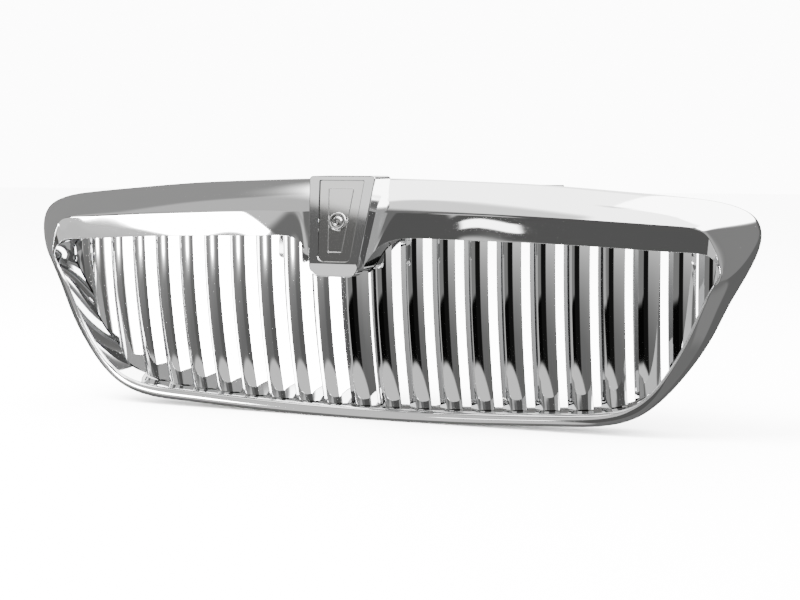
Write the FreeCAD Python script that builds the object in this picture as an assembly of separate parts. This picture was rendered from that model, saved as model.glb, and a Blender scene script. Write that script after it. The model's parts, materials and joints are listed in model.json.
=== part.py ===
import FreeCAD, Part
import math
import os

V = FreeCAD.Vector

# ---------------------------------------------------------------- driving dimensions (mm)
# Working frame while modelling: x to the right, y rearwards, z up. x = 0 is the plane of
# symmetry, y = 0 the front of the centre bar at its top, z = 0 the top edge of the opening.
# save() moves everything so that the origin is the middle of the upper bolt line.
BOLT_LINE_Y = 92.0
BOLT_LINE_Z = 51.0

BAR_PITCH = 38.0
BARS_EACH_SIDE = 11
LAST_BAR_X = 412.0
BAR_FACE = 20.0            # width of the convex front of a bar
BAR_CROWN = 2.4            # how far the middle of the face stands in front of its edges
FACET_WIDE = 10.3          # flat side facet, sideways
FACET_DEEP = 8.7           # flat side facet, rearwards
CENTRE_FACET_WIDE = 6.8    # the centre bar has a narrower facet on each side
CENTRE_FACET_DEEP = 5.75
BAR_DEEP = 20.0
BAR_REAR_INSET = 6.0       # the back of a bar is narrower than its front
TAB_LEFT = -9.0            # rear tab of a bar: its two sides across the bar
TAB_RIGHT = 3.0
TAB_FRONT = 15.5           # its front face behind the bar's front line
TAB_BACK = 19.5
TAB_REACH = 7.0            # how far it runs into the carrier
TAB_CLEAR = 0.1

BOW_SPAN = 470.0
BOW_2 = 62.3               # plan curve of the bars: y = BOW_2 t^2 + BOW_4 t^4, t = x / BOW_SPAN
BOW_4 = 13.9
TUCK = 34.1                # how far the foot of a bar lies behind its top
OPENING_H = 205.7          # height over which that tuck builds up, from z = 0 down

SKIN = 3.0                 # wall of the chrome mouldings

# Stations of the surround, right half, from the top centre clockwise to the bottom centre.
# rim: front inner edge of the opening; nose: the crease in front of it; edge: outer edge.
STATIONS = (
    # rim (x, y, z)          nose (x, y, z)           edge (x, y, z)
    ((0, -40, -40),          (0, -18, 29.5),          (0, 18, 67)),
    ((25, -40, -37),         (34, -17.5, 29.4),       (42, 18.4, 66.7)),
    ((42, -37, -15),         (54, -17, 29.2),         (66, 19, 66.2)),
    ((64, -26, -2),          (78, -16, 28.9),         (92, 20, 65.5)),
    ((104, -13, -0.9),       (114, -14.6, 28.3),      (124, 21.7, 64.4)),
    ((200, -6, -3.2),        (205, -11, 25.6),        (213, 26.5, 60.7)),
    ((300, 2.5, -7.2),       (300, -5.3, 21),         (305, 33.5, 53.9)),
    ((370, 10, -10.9),       (366, 0, 17.4),          (383, 41.4, 47.0)),
    ((398, 13.5, -12.6),     (393, 2.4, 14.9),        (424, 47, 40)),
    ((411, 14.8, -18),       (409, 8, 3),             (449, 50, 27.5)),
    ((418, 15, -31),         (419.5, 12.4, -29),      (457.6, 49.5, 5)),
    ((412, 15.4, -46),       (414.5, 12.6, -46.5),    (448, 46, -28)),
    ((397, 16.6, -76.5),     (399.4, 13.6, -77.6),    (426, 41, -70)),
    ((383, 18.2, -109),      (385.2, 15.2, -110.3),   (408, 37, -108)),
    ((363, 21, -145),        (365, 18, -146.8),       (385, 33.6, -144.5)),
    ((344, 23, -170),        (345.6, 20, -172),       (361, 31, -173.5)),
    ((320, 24.6, -186.5),    (321, 21.6, -189),       (332, 30, -197)),
    ((288, 25.6, -194.6),    (288.4, 22.4, -197.4),   (294, 29.4, -209.6)),
    ((240, 25.4, -198.4),    (240, 22.2, -201.4),     (243, 28.8, -213.6)),
    ((150, 24.4, -202.2),    (150, 21.2, -205.2),     (151, 27.8, -217.8)),
    ((75, 23.4, -204.2),     (75, 20.2, -207.2),      (75, 27, -219.6)),
    ((0, 23, -205),          (0, 19.8, -208),         (0, 26.6, -220.3)),
)
EDGE_BULGE = 3.0           # how far the slope between nose and edge swells outwards
FRAME_BACK_Y = 74.0        # rear edge of the outer wall
FRAME_DRAFT = 2.0          # the outer wall leans inwards by this much towards the back
LEDGE_DEEP = 14.0          # the inner ledge reaches this far behind the front of the bars
LEDGE_DRAFT = 1.0          # and opens away from the opening by this much
TRIM_GAP = 0.3             # clearance between the bars and the ledge
OUTLINE_POINTS = 241       # fineness of the outline the bars are trimmed to
PRISM_REACH = 36.0         # half width of the trimming prism about one bar

# Pod: tongue in the middle of the top rail, built on a plane that leans back
POD_FOOT = (-57.0, -29.0)  # y, z of its front plane at the bottom
POD_HEAD = (-28.5, 70.0)   # y, z of its front plane at the top
POD_HALF_TOP = 41.0        # half width of the front plane at its top
POD_HALF_LOW = 30.5        # and at its foot
POD_CORNER = 12.0          # radius of the lower corners
POD_DEEP = 98.0            # length of the blank the housing is cut from
POD_BACK_LOW = (-38.0, -48.0)          # y, z of the line along which its back is cut, low end
POD_BACK_HIGH = (30.0, 76.0)           # and high end
POD_BEVEL_H = 13.5         # height of the bevel under the front plane
POD_BEVEL_SET = 5.0        # how far the bevel's lower edge lies behind the front plane

TABLET_HALF_TOP = 27.0
TABLET_HALF_LOW = 19.3
TABLET_FOOT_T = 3.0        # start of the tablet above the pod's foot, along the plane
TABLET_LEN = 94.5
TABLET_RADII = (1.0, 7.0, 7.0, 1.0)    # corners from the top left, against the clock
TABLET_POCKET = 3.2        # depth of the pocket in the pod
TABLET_THICK = 1.8
TRIM_HALF_TOP = 15.8
TRIM_HALF_LOW = 8.7
TRIM_FOOT_T = 13.5
TRIM_LEN = 75.5
TRIM_WIDE = 1.0
TRIM_HIGH = 0.5
BADGE_T = 49.5             # centre of the badge screw above the pod's foot, along the plane
BADGE_RING_R = 10.6
BADGE_RING_HOLE = 7.6
BADGE_RING_HIGH = 3.0
BADGE_HEAD_R = 7.4
BADGE_HEAD_HIGH = 4.6
BADGE_SOCKET_R = 2.6
BADGE_SHANK_R = 3.0
BADGE_SHANK_IN = 14.0

# Carrier ring behind the ledge that holds the ends of the bars
CARRIER_FRONT = 14.3       # its front face behind the front of the bars
CARRIER_BACK = 27.0
CARRIER_INSIDE = 0.8       # its inner side outside the opening's outline
CARRIER_OUTSIDE = 8.8
CARRIER_SPLIT_Z = -60.0

BOSS_R = 3.6               # screw bosses between the ledge and the outer wall
BOSS_OUT = 5.8             # their distance outside the opening's outline
BOSS_DEEP = 9.0
CARRIER_SCREW_R = 1.5
CARRIER_HEAD_R = 3.2
CARRIER_HEAD_H = 2.2
UPPER_SCREWS = (4, 5, 6)   # stations with a screw, on each half
LOWER_SCREWS = (13, 15, 18, 20)

# Steel strip along the top, with the bolt holes to the car
RAIL_HALF = 236.0
RAIL_FRONT_Y = 60.0
RAIL_BACK_Y = 104.0
RAIL_THICK = 2.0
RAIL_EDGE_H = 6.0          # the front edge of the strip is turned down by this much
BOLT_SPACING = 140.0
BOLT_COUNT = 4
BOLT_HOLE_R = 3.5
LUG_X = (0.0, 110.0, 200.0)
LUG_HALF = 6.0
LUG_FRONT_Y = 61.5
LUG_BACK_Y = 73.0
LUG_SCREW_Y = 68.0
RAIL_SCREW_R = 2.0
RAIL_HEAD_R = 4.2
RAIL_HEAD_H = 2.6
SPEED_NUT_HALF = 9.0
SPEED_NUT_THICK = 0.8
SEAL_BULB_R = 3.6
SEAL_BULB_HOLE = 2.2
SEAL_CLIP_DEEP = 8.0
SEAL_CLIP_THICK = 1.5

# Pads on the back of the lower carrier, and what stands on them
PAD_HALF = 13.0
PAD_Y = 71.0
PIN_X = 180.0
PIN_R = 3.5
PIN_LEN = 14.0
PIN_FOOT_HALF = 11.0
PIN_FOOT_H = 3.0
REST_X = 95.0
REST_HALF = 10.0
REST_H = 5.0

# Steel side brackets on lugs of the surround
BRACKET_Z = (-30.0, 8.0)
BRACKET_X = (425.0, 443.0)
BRACKET_LUG_FRONT_Y = 58.0
BRACKET_THICK = 2.5
BRACKET_REACH = 34.0
BRACKET_FOOT_X = 398.0
BRACKET_SCREW_Z = (-20.0, -2.0)
BRACKET_SCREW_X = 435.0
BRACKET_SCREW_R = 2.0
BRACKET_HEAD_R = 4.2
BRACKET_HEAD_H = 2.6
BRACKET_HOLE_R = 3.3
BRACKET_HOLE_X = 410.0
BRACKET_HOLE_Z = -11.0

# Studs that clamp the pod from behind
STUD_X = 12.0
STUD_Z = (-4.0, 42.0)
STUD_SHOULDER_R = 4.5
STUD_R = 2.5
STUD_BACK_Y = 16.0
RETAINER_Y = 6.0
RETAINER_THICK = 2.0
RETAINER_HALF = 18.0
RETAINER_Z = (-11.0, 50.0)
POD_NUT_R = 6.0
POD_NUT_H = 3.0
POD_WALL = 4.0             # side walls of the pod around the hollow behind its face
POD_FACE_WALL = 9.0        # wall behind the front plane, with the pocket in it

PARTS_DIR = "parts"


def save(shape, name):
    moved = shape.copy()
    moved.translate(V(0, -BOLT_LINE_Y, -BOLT_LINE_Z))
    moved.exportStep(os.path.join(PARTS_DIR, name + ".step"))


def mirrored(shape):
    return shape.mirror(V(0, 0, 0), V(1, 0, 0))


def group(solids):
    return Part.makeCompound(solids)


# ---------------------------------------------------------------- curves of the object

def bow(x):
    t = x / BOW_SPAN
    return BOW_2 * t ** 2 + BOW_4 * t ** 4


def bow_angle(x):
    t = x / BOW_SPAN
    return math.atan((2 * BOW_2 * t + 4 * BOW_4 * t ** 3) / BOW_SPAN)


def tuck(z):
    return TUCK * (max(0.0, -z) / OPENING_H) ** 2


def front_y(x, z):
    return bow(x) + tuck(z)


def flip(p):
    return V(-p.x, p.y, p.z)


def ring_stations():
    """The stations all the way round, clockwise from the top centre, as triples of vectors."""
    right = [tuple(V(*p) for p in row) for row in STATIONS]
    left = [tuple(flip(p) for p in row) for row in reversed(right[1:-1])]
    return right + left


RING = ring_stations()


def ring_parameters():
    values = [0.0]
    for here, after in zip(RING, RING[1:] + RING[:1]):
        step = (after[0] - here[0]).Length + (after[2] - here[2]).Length
        values.append(values[-1] + step / 2)
    return values


RING_PARAMETERS = ring_parameters()


def outward(i):
    """Unit vector in the x-z plane that points away from the opening at station i."""
    along = RING[(i + 1) % len(RING)][2] - RING[i - 1][2]
    return V(-along.z, 0, along.x).normalize()


def closed_curve(points):
    curve = Part.BSplineCurve()
    curve.interpolate(Points=points, PeriodicFlag=True, Parameters=RING_PARAMETERS)
    return curve.toShape()


def ring_solid(sections):
    """Closed ring whose section at station i is the polygon sections[i]."""
    corners = len(sections[0])
    edges = [closed_curve([section[k] for section in sections]) for k in range(corners)]
    faces = [Part.makeRuledSurface(edges[k], edges[(k + 1) % corners]) for k in range(corners)]
    shell = Part.makeShell(faces)
    shell.sewShape()
    solid = Part.makeSolid(shell)
    if solid.Volume < 0:
        solid.reverse()
    return solid


# ---------------------------------------------------------------- surround

def skin_points(i):
    """Outer skin of the surround at station i, from the back of the ledge to the back edge."""
    rim, nose, edge = RING[i]
    out = outward(i)
    back = V(0, 1, 0)
    ledge = rim + out * LEDGE_DRAFT
    ledge.y = front_y(rim.x, rim.z) + LEDGE_DEEP
    slope = edge - nose
    across = slope.dot(out)
    rise = math.hypot(across, slope.y)
    bulge = (out * slope.y - back * across) * (EDGE_BULGE / rise)
    swell = (nose + edge) * 0.5 + bulge
    rear = edge - out * FRAME_DRAFT
    rear.y = FRAME_BACK_Y
    return ledge, rim, nose, swell, edge, rear


def shell_section(i):
    ledge, rim, nose, swell, edge, rear = skin_points(i)
    out = outward(i)
    back = V(0, 1, 0)
    inner = [
        rear - out * SKIN,
        edge - out * SKIN + back * SKIN,
        swell - out * (SKIN / 2) + back * SKIN,
        nose + out + back * SKIN,
        rim + out * SKIN + back * SKIN,
        ledge + out * SKIN,
    ]
    return [ledge, rim, nose, swell, edge, rear] + inner


def surround():
    return ring_solid([shell_section(i) for i in range(len(RING))])


def surround_hull():
    """The surround's outer skin, filled in."""
    return ring_solid([list(skin_points(i)) for i in range(len(RING))])


# ---------------------------------------------------------------- bars

def outline(offset):
    """Points all round the opening seen from the front, widened by offset."""
    points = []
    for i, (rim, _, _) in enumerate(RING):
        p = rim + outward(i) * offset
        points.append(V(p.x, 0, p.z))
    return closed_curve(points).discretize(Number=OUTLINE_POINTS)


def opening_prism(x, points):
    """The part of the opening near x, as a prism along y."""
    near = [p for p in points if abs(p.x - x) < PRISM_REACH]
    face = Part.Face(Part.makePolygon(near + near[:1]))
    face.translate(V(0, -80, 0))
    return face.extrude(V(0, 240, 0))


def rim_at(x, lower):
    """y and z of the rim above (or below) a place x on the width, straight between stations."""
    rims = [V(*row[0]) for row in STATIONS]
    widest = max(range(len(rims)), key=lambda k: rims[k].x)
    part = rims[widest:] if lower else rims[:widest + 1]
    x = abs(x)
    for a, b in zip(part, part[1:]):
        if min(a.x, b.x) <= x <= max(a.x, b.x):
            f = (x - a.x) / (b.x - a.x)
            return a.y + f * (b.y - a.y), a.z + f * (b.z - a.z)
    return rims[widest].y, rims[widest].z


def bar_x(i):
    if abs(i) == BARS_EACH_SIDE:
        return math.copysign(LAST_BAR_X, i)
    return i * BAR_PITCH


def bar_section(facets, place, across, forward):
    """Closed wire of a bar's section; facets lists the sides that carry a facet."""
    half = BAR_FACE / 2
    wide = FACET_WIDE if len(facets) == 1 else CENTRE_FACET_WIDE
    deep = FACET_DEEP if len(facets) == 1 else CENTRE_FACET_DEEP
    left = [(-half + BAR_REAR_INSET, -BAR_DEEP)]
    right = [(half - BAR_REAR_INSET, -BAR_DEEP)]
    if "left" in facets:
        left = [(-half - wide + BAR_REAR_INSET, -BAR_DEEP),
                (-half - wide, -BAR_CROWN - deep)]
    if "right" in facets:
        right = [(half + wide, -BAR_CROWN - deep),
                 (half + wide - BAR_REAR_INSET, -BAR_DEEP)]
    crease_left = (-half, -BAR_CROWN)
    crease_right = (half, -BAR_CROWN)

    def at(pair):
        return place + across * pair[0] + forward * pair[1]

    face = Part.Arc(at(crease_left), at((0, 0)), at(crease_right)).toShape()
    chain = [crease_right] + right + left + [crease_left]
    lines = [Part.makeLine(at(p), at(q)) for p, q in zip(chain, chain[1:])]
    return Part.Wire([face] + lines)


def bar_frame(x, z):
    """Place and the across and forward directions of a bar at height z."""
    turn = bow_angle(x)
    across = V(math.cos(turn), math.sin(turn), 0)
    forward = V(math.sin(turn), -math.cos(turn), 0)
    return V(x, front_y(x, z), z), across, forward


def bar_ends(i):
    """Highest and lowest z of the opening over the width of bar i."""
    x = bar_x(i)
    places = [min(418.0, abs(x + a)) for a in (-22, -11, 0, 11, 22)]
    high = max(rim_at(p, False)[1] for p in places)
    low = min(rim_at(p, True)[1] for p in places)
    return high, low


def bar(i, points):
    x = bar_x(i)
    facets = ("left", "right") if i == 0 else (("left",) if i > 0 else ("right",))
    high, low = bar_ends(i)
    steps = 6
    wires = []
    for k in range(steps + 1):
        z = high + 5 + (low - high - 13) * k / steps
        place, across, forward = bar_frame(x, z)
        wires.append(bar_section(facets, place, across, forward))
    body = Part.makeLoft(wires, True, True).common(opening_prism(x, points))
    return body.fuse(bar_tab(i, 0.0))


def bar_tab(i, grow):
    """Rear tab along the whole bar; its two ends stand in the carrier ring."""
    x = bar_x(i)
    side = -1 if i < 0 else 1
    top_z = rim_at(x, False)[1] + TAB_REACH + grow
    low_z = rim_at(x, True)[1] - TAB_REACH - grow
    wires = []
    for z in (top_z, (2 * top_z + low_z) / 3, (top_z + 2 * low_z) / 3, low_z):
        place, across, forward = bar_frame(x, z)
        corners = ((TAB_LEFT - grow, TAB_FRONT - grow), (TAB_RIGHT + grow, TAB_FRONT - grow),
                   (TAB_RIGHT + grow, TAB_BACK + grow), (TAB_LEFT - grow, TAB_BACK + grow))
        points = [place + across * (side * a) - forward * n for a, n in corners]
        wires.append(Part.makePolygon(points + points[:1]))
    return Part.makeLoft(wires, True, True)


# ---------------------------------------------------------------- carriers

def carrier_section(i):
    rim = RING[i][0]
    out = outward(i)
    front = front_y(rim.x, rim.z)
    corners = ((CARRIER_INSIDE, CARRIER_FRONT), (CARRIER_OUTSIDE, CARRIER_FRONT),
               (CARRIER_OUTSIDE, CARRIER_BACK), (CARRIER_INSIDE, CARRIER_BACK))
    return [V(rim.x, front + deep, rim.z) + out * wide for wide, deep in corners]


def rod(x, y0, z, radius, length):
    """Cylinder along +y."""
    return Part.makeCylinder(radius, length, V(x, y0, z), V(0, 1, 0))


def box(x0, x1, y0, y1, z0, z1):
    return Part.makeBox(x1 - x0, y1 - y0, z1 - z0, V(x0, y0, z0))


def screw_place(i):
    """x, z of the screw at station i and the y of the front of the bars there."""
    rim = RING[i][0]
    centre = rim + outward(i) * BOSS_OUT
    return centre.x, centre.z, front_y(rim.x, rim.z)


def both_sides(stations):
    return list(stations) + [len(RING) - i for i in stations]


def screw_holes(stations):
    holes = []
    for i in both_sides(stations):
        x, z, front = screw_place(i)
        holes.append(rod(x, front + CARRIER_FRONT - BOSS_DEEP, z, CARRIER_SCREW_R, 30))
    return holes


def carrier_screws(stations):
    screws = []
    for i in both_sides(stations):
        x, z, front = screw_place(i)
        y0 = front + CARRIER_FRONT - BOSS_DEEP + 1
        y1 = front + CARRIER_BACK
        shank = rod(x, y0, z, CARRIER_SCREW_R, y1 - y0)
        head = rod(x, y1, z, CARRIER_HEAD_R, CARRIER_HEAD_H)
        head = head.makeFillet(0.8, [head.Edges[0]])
        slot = box(x - CARRIER_HEAD_R, x + CARRIER_HEAD_R, y1 + 1.4, y1 + 4, z - 0.4, z + 0.4)
        screws.append(head.fuse(shank).removeSplitter().cut(slot))
    return group(screws)


def lower_pads():
    """Flat pads on the back of the lower carrier."""
    pads = []
    for x in (PIN_X, REST_X):
        z = rim_at(x, True)[1]
        front = front_y(x, z) + CARRIER_FRONT + 4
        pads.append(box(x - PAD_HALF, x + PAD_HALF, front, PAD_Y, z - CARRIER_OUTSIDE + 0.6, z - 1.6))
    return pads + [mirrored(p) for p in pads]


def carriers(ends):
    """Upper and lower carrier, with a pocket for every bar end."""
    ring = ring_solid([carrier_section(i) for i in range(len(RING))])
    ring = ring.cut(screw_holes(UPPER_SCREWS + LOWER_SCREWS))
    ring = ring.cut(ends)
    upper = ring.common(box(-600, 600, -100, 200, CARRIER_SPLIT_Z + 0.5, 300))
    lower = ring.common(box(-600, 600, -100, 200, -400, CARRIER_SPLIT_Z - 0.5))
    lower = lower.fuse(lower_pads()).removeSplitter()
    return largest(upper), largest(lower)


def largest(shape):
    return max(shape.Solids, key=lambda s: s.Volume)


def lower_locating_pins():
    pins = []
    for x in (-PIN_X, PIN_X):
        z = rim_at(x, True)[1] - CARRIER_OUTSIDE / 2 - 0.4
        foot = box(x - PIN_FOOT_HALF, x + PIN_FOOT_HALF, PAD_Y, PAD_Y + PIN_FOOT_H, z - 3.4, z + 3.4)
        pin = rod(x, PAD_Y + PIN_FOOT_H, z, PIN_R, PIN_LEN)
        rear = max(pin.Edges, key=lambda e: e.CenterOfMass.y)
        pins.append(foot.fuse(pin.makeChamfer(1.2, [rear])))
    return group(pins)


def rest_pads():
    pads = []
    for x in (-REST_X, REST_X):
        z = rim_at(x, True)[1] - CARRIER_OUTSIDE / 2 - 0.4
        pad = box(x - REST_HALF, x + REST_HALF, PAD_Y, PAD_Y + REST_H, z - 3.2, z + 3.2)
        rear = [e for e in pad.Edges if e.BoundBox.YMin > PAD_Y + REST_H - 0.01]
        pads.append(pad.makeFillet(1.2, rear))
    return group(pads)


# ---------------------------------------------------------------- pod and badge

LEAN = V(0, POD_HEAD[0] - POD_FOOT[0], POD_HEAD[1] - POD_FOOT[1])
POD_TALL = LEAN.Length
UP = LEAN.normalize()
OUT = V(0, -UP.z, UP.y)    # out of the pod's front plane
LEAN_SLOPE = UP.y / UP.z


def on_plane(s, t, n):
    """Point s across, t up and n out of the pod's front plane."""
    return V(s, POD_FOOT[0], POD_FOOT[1]) + UP * t + OUT * n


def rounded_outline(corners, radii, n):
    """Closed wire through corners (s, t) with arcs of the given radii."""
    edges = []
    starts = []
    ends = []
    arcs = []
    count = len(corners)
    for k, radius in enumerate(radii):
        here = on_plane(corners[k][0], corners[k][1], n)
        before = (on_plane(corners[k - 1][0], corners[k - 1][1], n) - here).normalize()
        after = corners[(k + 1) % count]
        after = (on_plane(after[0], after[1], n) - here).normalize()
        half = before.getAngle(after) / 2
        reach = radius / math.tan(half)
        middle = here + (before + after).normalize() * (radius / math.sin(half) - radius)
        starts.append(here + before * reach)
        ends.append(here + after * reach)
        arcs.append((starts[-1], middle, ends[-1], radius))
    for k in range(count):
        a, m, b, radius = arcs[k]
        if radius > 0:
            edges.append(Part.Arc(a, m, b).toShape())
        edges.append(Part.makeLine(b, starts[(k + 1) % count]))
    return Part.Wire(edges)


def plate(corners, radii, n_from, n_to):
    """Prism on the pod's plane between two distances out of it."""
    face = Part.Face(rounded_outline(corners, radii, n_from))
    return face.extrude(OUT * (n_to - n_from))


def trapezoid(half_top, half_low, foot, tall, inset):
    return [(-half_top + inset, foot + tall - inset), (-half_low + inset, foot + inset),
            (half_low - inset, foot + inset), (half_top - inset, foot + tall - inset)]


def tablet_corners(inset):
    return trapezoid(TABLET_HALF_TOP, TABLET_HALF_LOW, TABLET_FOOT_T, TABLET_LEN, inset)


def pod(hull):
    corners = trapezoid(POD_HALF_TOP, POD_HALF_LOW, 0, POD_TALL, 0)
    low = -POD_BEVEL_H
    corners = [corners[0], (-POD_HALF_LOW + 1.5, low), (POD_HALF_LOW - 1.5, low), corners[3]]
    radii = (4.0, POD_CORNER, POD_CORNER, 4.0)
    body = Part.Face(rounded_outline(corners, radii, 0)).extrude(V(0, POD_DEEP, 0))
    wedge = Part.Face(Part.makePolygon([
        on_plane(-60, 0, 0), on_plane(-60, 0, 6), on_plane(-60, low - 2, 6),
        on_plane(-60, low - 2, -POD_BEVEL_SET * 1.15), on_plane(-60, 0, 0)]))
    body = body.cut(wedge.extrude(V(120, 0, 0)))
    back = Part.Face(Part.makePolygon([
        V(-60, POD_BACK_LOW[0], POD_BACK_LOW[1]), V(-60, POD_BACK_HIGH[0], POD_BACK_HIGH[1]),
        V(-60, 120, POD_BACK_HIGH[1]), V(-60, 120, POD_BACK_LOW[1]),
        V(-60, POD_BACK_LOW[0], POD_BACK_LOW[1])]))
    body = body.cut(back.extrude(V(120, 0, 0)))
    hollow = trapezoid(POD_HALF_TOP, POD_HALF_LOW, 0, POD_TALL, POD_WALL)
    hollow = [hollow[0], (hollow[1][0], low + POD_WALL), (hollow[2][0], low + POD_WALL), hollow[3]]
    inner = Part.Face(rounded_outline(hollow, (1.0, 8.0, 8.0, 1.0), -POD_FACE_WALL))
    body = body.cut(inner.extrude(V(0, POD_DEEP, 0)))
    body = body.cut(plate(tablet_corners(-0.3), TABLET_RADII, -TABLET_POCKET, 5))
    body = largest(body.cut(hull))
    for x in (-STUD_X, STUD_X):
        for z in STUD_Z:
            root = POD_FOOT[0] + (z - POD_FOOT[1]) * LEAN_SLOPE + POD_FACE_WALL
            body = body.fuse(rod(x, root, z, STUD_SHOULDER_R, RETAINER_Y - root))
            body = body.fuse(rod(x, root, z, STUD_R, STUD_BACK_Y - root))
    shank = Part.makeCylinder(BADGE_SHANK_R, 40, on_plane(0, BADGE_T, -30), OUT)
    return body.cut(shank)


def badge_hole(radius):
    return Part.makeCylinder(radius, 60, on_plane(0, BADGE_T, -30), OUT)


def tablet():
    low = -TABLET_POCKET
    face = plate(tablet_corners(0), TABLET_RADII, low, low + TABLET_THICK)
    return face.cut(badge_hole(BADGE_SHANK_R))


def tablet_trim():
    low = -TABLET_POCKET + TABLET_THICK
    outer = trapezoid(TRIM_HALF_TOP, TRIM_HALF_LOW, TRIM_FOOT_T, TRIM_LEN, 0)
    inner = trapezoid(TRIM_HALF_TOP, TRIM_HALF_LOW, TRIM_FOOT_T, TRIM_LEN, TRIM_WIDE)
    ring = plate(outer, (1.2,) * 4, low, low + TRIM_HIGH)
    return ring.cut(plate(inner, (0.6,) * 4, low - 1, low + TRIM_HIGH + 1))


def badge_ring():
    low = -TABLET_POCKET + TABLET_THICK
    ring = Part.makeCylinder(BADGE_RING_R, BADGE_RING_HIGH, on_plane(0, BADGE_T, low), OUT)
    rims = [e for e in ring.Edges if (e.CenterOfMass - on_plane(0, BADGE_T, low + 3)).Length < 0.1]
    return ring.makeFillet(1.3, rims).cut(badge_hole(BADGE_RING_HOLE))


def badge_screw():
    low = -TABLET_POCKET + TABLET_THICK
    crown = BADGE_HEAD_HIGH
    radius = (BADGE_HEAD_R ** 2 + crown ** 2) / (2 * crown)
    head = Part.makeCylinder(BADGE_HEAD_R, crown + 1, on_plane(0, BADGE_T, low), OUT)
    head = head.common(Part.makeSphere(radius, on_plane(0, BADGE_T, low + crown + 0.6 - radius)))
    socket = Part.makeCylinder(BADGE_SOCKET_R, 8, on_plane(0, BADGE_T, low + 1.8), OUT)
    shank_len = BADGE_SHANK_IN + low
    shank = Part.makeCylinder(BADGE_SHANK_R, shank_len, on_plane(0, BADGE_T, -BADGE_SHANK_IN), OUT)
    return head.cut(socket).fuse(shank).removeSplitter()


def pod_retainer():
    sheet = box(-RETAINER_HALF, RETAINER_HALF, RETAINER_Y, RETAINER_Y + RETAINER_THICK,
                RETAINER_Z[0], RETAINER_Z[1])
    uprights = [e for e in sheet.Edges if e.BoundBox.YLength > 1]
    sheet = sheet.makeFillet(4.0, uprights)
    middle = sum(RETAINER_Z) / 2
    sheet = sheet.cut(rod(0, 0, middle, 9.0, 30))
    for x in (-STUD_X, STUD_X):
        for z in STUD_Z:
            sheet = sheet.cut(rod(x, 0, z, STUD_R, 30))
    return sheet


def pod_nuts():
    nuts = []
    for x in (-STUD_X, STUD_X):
        for z in STUD_Z:
            y0 = RETAINER_Y + RETAINER_THICK
            disc = rod(x, y0, z, POD_NUT_R, 0.8).fuse(rod(x, y0, z, 4.0, POD_NUT_H))
            nuts.append(disc.removeSplitter().cut(rod(x, 0, z, STUD_R, 40)))
    return group(nuts)


# ---------------------------------------------------------------- strip along the top

def bolt_places():
    first = -BOLT_SPACING * (BOLT_COUNT - 1) / 2
    return [first + BOLT_SPACING * k for k in range(BOLT_COUNT)]


def lug_places():
    return sorted(set([-x for x in LUG_X] + list(LUG_X)))


def upper_mount_rail():
    top = BOLT_LINE_Z
    low = top - RAIL_THICK
    strip = box(-RAIL_HALF, RAIL_HALF, RAIL_FRONT_Y, RAIL_BACK_Y, low, top)
    corners = [e for e in strip.Edges if e.BoundBox.ZLength > 1 and e.BoundBox.YMin > RAIL_BACK_Y - 1]
    strip = strip.makeFillet(8.0, corners)
    turned = box(-RAIL_HALF, RAIL_HALF, RAIL_FRONT_Y, RAIL_FRONT_Y + RAIL_THICK, top - RAIL_EDGE_H, top)
    strip = strip.fuse(turned).removeSplitter()
    for x in bolt_places():
        strip = strip.cut(Part.makeCylinder(BOLT_HOLE_R, 20, V(x, BOLT_LINE_Y, top - 10)))
    for x in lug_places():
        strip = strip.cut(Part.makeCylinder(RAIL_SCREW_R, 20, V(x, LUG_SCREW_Y, top - 10)))
    return strip


def rail_screws():
    screws = []
    for x in lug_places():
        low = BOLT_LINE_Z - RAIL_THICK
        shank = Part.makeCylinder(RAIL_SCREW_R, 7, V(x, LUG_SCREW_Y, low))
        head = Part.makeCylinder(RAIL_HEAD_R, RAIL_HEAD_H, V(x, LUG_SCREW_Y, low - RAIL_HEAD_H))
        head = head.makeFillet(1.0, [min(head.Edges, key=lambda e: e.CenterOfMass.z)])
        socket = Part.makeCylinder(1.3, 1.4, V(x, LUG_SCREW_Y, low - RAIL_HEAD_H))
        screws.append(head.fuse(shank).removeSplitter().cut(socket))
    return group(screws)


def speed_nuts():
    """Flat sheet nuts with a pressed collar under the bolt holes."""
    nuts = []
    top = BOLT_LINE_Z - RAIL_THICK
    for x in bolt_places():
        sheet = box(x - SPEED_NUT_HALF, x + SPEED_NUT_HALF, BOLT_LINE_Y - 8, BOLT_LINE_Y + 4,
                    top - SPEED_NUT_THICK, top)
        collar = Part.makeCylinder(BOLT_HOLE_R + 1.2, 4, V(x, BOLT_LINE_Y, top - 4))
        hole = Part.makeCylinder(BOLT_HOLE_R, 20, V(x, BOLT_LINE_Y, top - 10))
        nuts.append(sheet.fuse(collar).removeSplitter().cut(hole))
    return group(nuts)


def weather_seal():
    """Clip on the rear edge of the strip with a hollow bulb on top of it."""
    top = BOLT_LINE_Z
    half = RAIL_HALF - 10
    rear = RAIL_BACK_Y
    clip = box(-half, half, rear - SEAL_CLIP_DEEP, rear + SEAL_CLIP_THICK,
               top - RAIL_THICK - SEAL_CLIP_THICK, top + SEAL_CLIP_THICK)
    slot = box(-half - 1, half + 1, rear - SEAL_CLIP_DEEP - 1, rear, top - RAIL_THICK, top)
    centre = V(-half, rear - 3.5, top + SEAL_CLIP_THICK + SEAL_BULB_R - 0.6)
    bulb = Part.makeCylinder(SEAL_BULB_R, 2 * half, centre, V(1, 0, 0))
    hole = Part.makeCylinder(SEAL_BULB_HOLE, 2 * half, centre, V(1, 0, 0))
    seal = clip.cut(slot).fuse(bulb).removeSplitter().cut(hole)
    for x in bolt_places():
        seal = seal.cut(Part.makeCylinder(SPEED_NUT_HALF, 60, V(x, BOLT_LINE_Y, top - 30)))
    return seal


# ---------------------------------------------------------------- side brackets

def bracket_lug():
    return box(BRACKET_X[0], BRACKET_X[1], BRACKET_LUG_FRONT_Y, FRAME_BACK_Y, BRACKET_Z[0], BRACKET_Z[1])


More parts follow.
